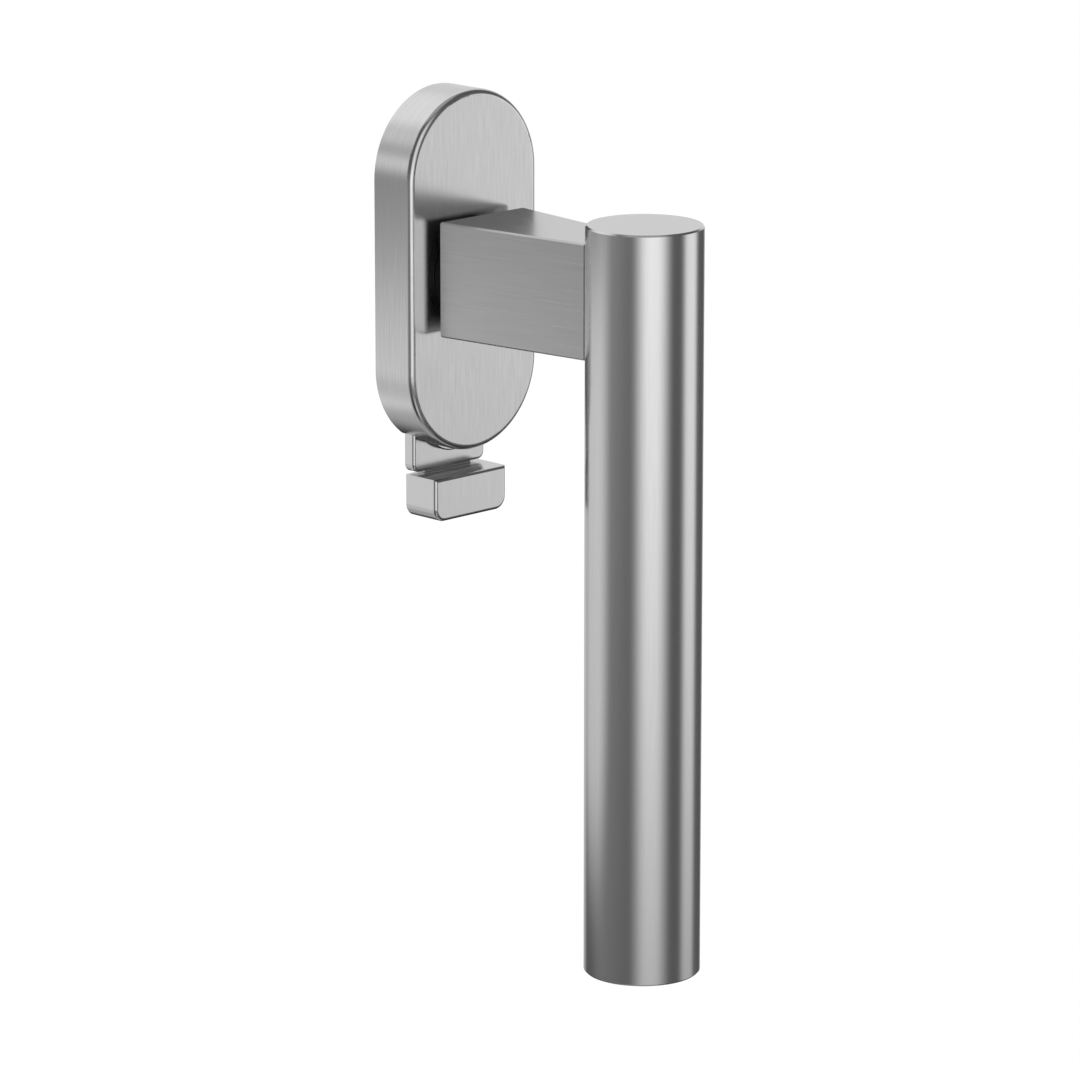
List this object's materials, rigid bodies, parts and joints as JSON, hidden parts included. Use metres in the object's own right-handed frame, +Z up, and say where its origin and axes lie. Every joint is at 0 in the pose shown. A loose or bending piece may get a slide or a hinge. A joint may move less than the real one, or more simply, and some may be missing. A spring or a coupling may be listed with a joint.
{
  "type": "window handle",
  "caption": "Tilt-and-turn window handle: a round bar grip on a tapered square neck, an oblong escutcheon and a small safety slide below it; turns a square spindle.",
  "frame": {"origin": "on the spindle's axis, in the plane of the sash, midway between the two locating lugs", "axes": "+X to the right as seen from the room, +Y along the spindle into the sash, +Z up; the grip hangs down, which is the closed position"},
  "size_m": [0.03, 0.072, 0.1479],
  "materials": {
    "satin_stainless": "satin, fine lengthwise brushing",
    "slide_stainless": "satin, fine upright brushing",
    "plated_steel": "bright zinc plate",
    "blackened_steel": "black oxide",
    "spring_steel": "hard rolled",
    "cast_zinc": "die cast zinc, matt",
    "nylon": "moulded nylon, black"
  },
  "bodies": {
    "base": {"base_plate": "cast_zinc", "bush": "nylon", "thrust_washer": "plated_steel", "detent_spring_left": "spring_steel", "detent_spring_right": "spring_steel", "mounting_screws": "plated_steel", "escutcheon": "satin_stainless"},
    "lever": {"grip": "satin_stainless", "neck": "satin_stainless", "sliding_washer": "nylon", "grub_screw": "blackened_steel", "spindle": "plated_steel", "retaining_clip": "spring_steel", "rotor": "plated_steel"},
    "slide": {"slide_plate": "slide_stainless", "slide_knob": "slide_stainless", "knob_screw": "plated_steel"}
  },
  "joints": [
    {"name": "lever_turn", "type": "hinge", "parent": "base", "child": "lever", "pos_m": [0, 0, 0], "axis": [0, -1, 0], "range_deg": [0, 180], "deforming": ["detent_spring_left", "detent_spring_right"]},
    {"name": "slide_push", "type": "slide", "parent": "base", "child": "slide", "axis": [0, 0, 1], "range_m": [0, 0.0035]}
  ]
}
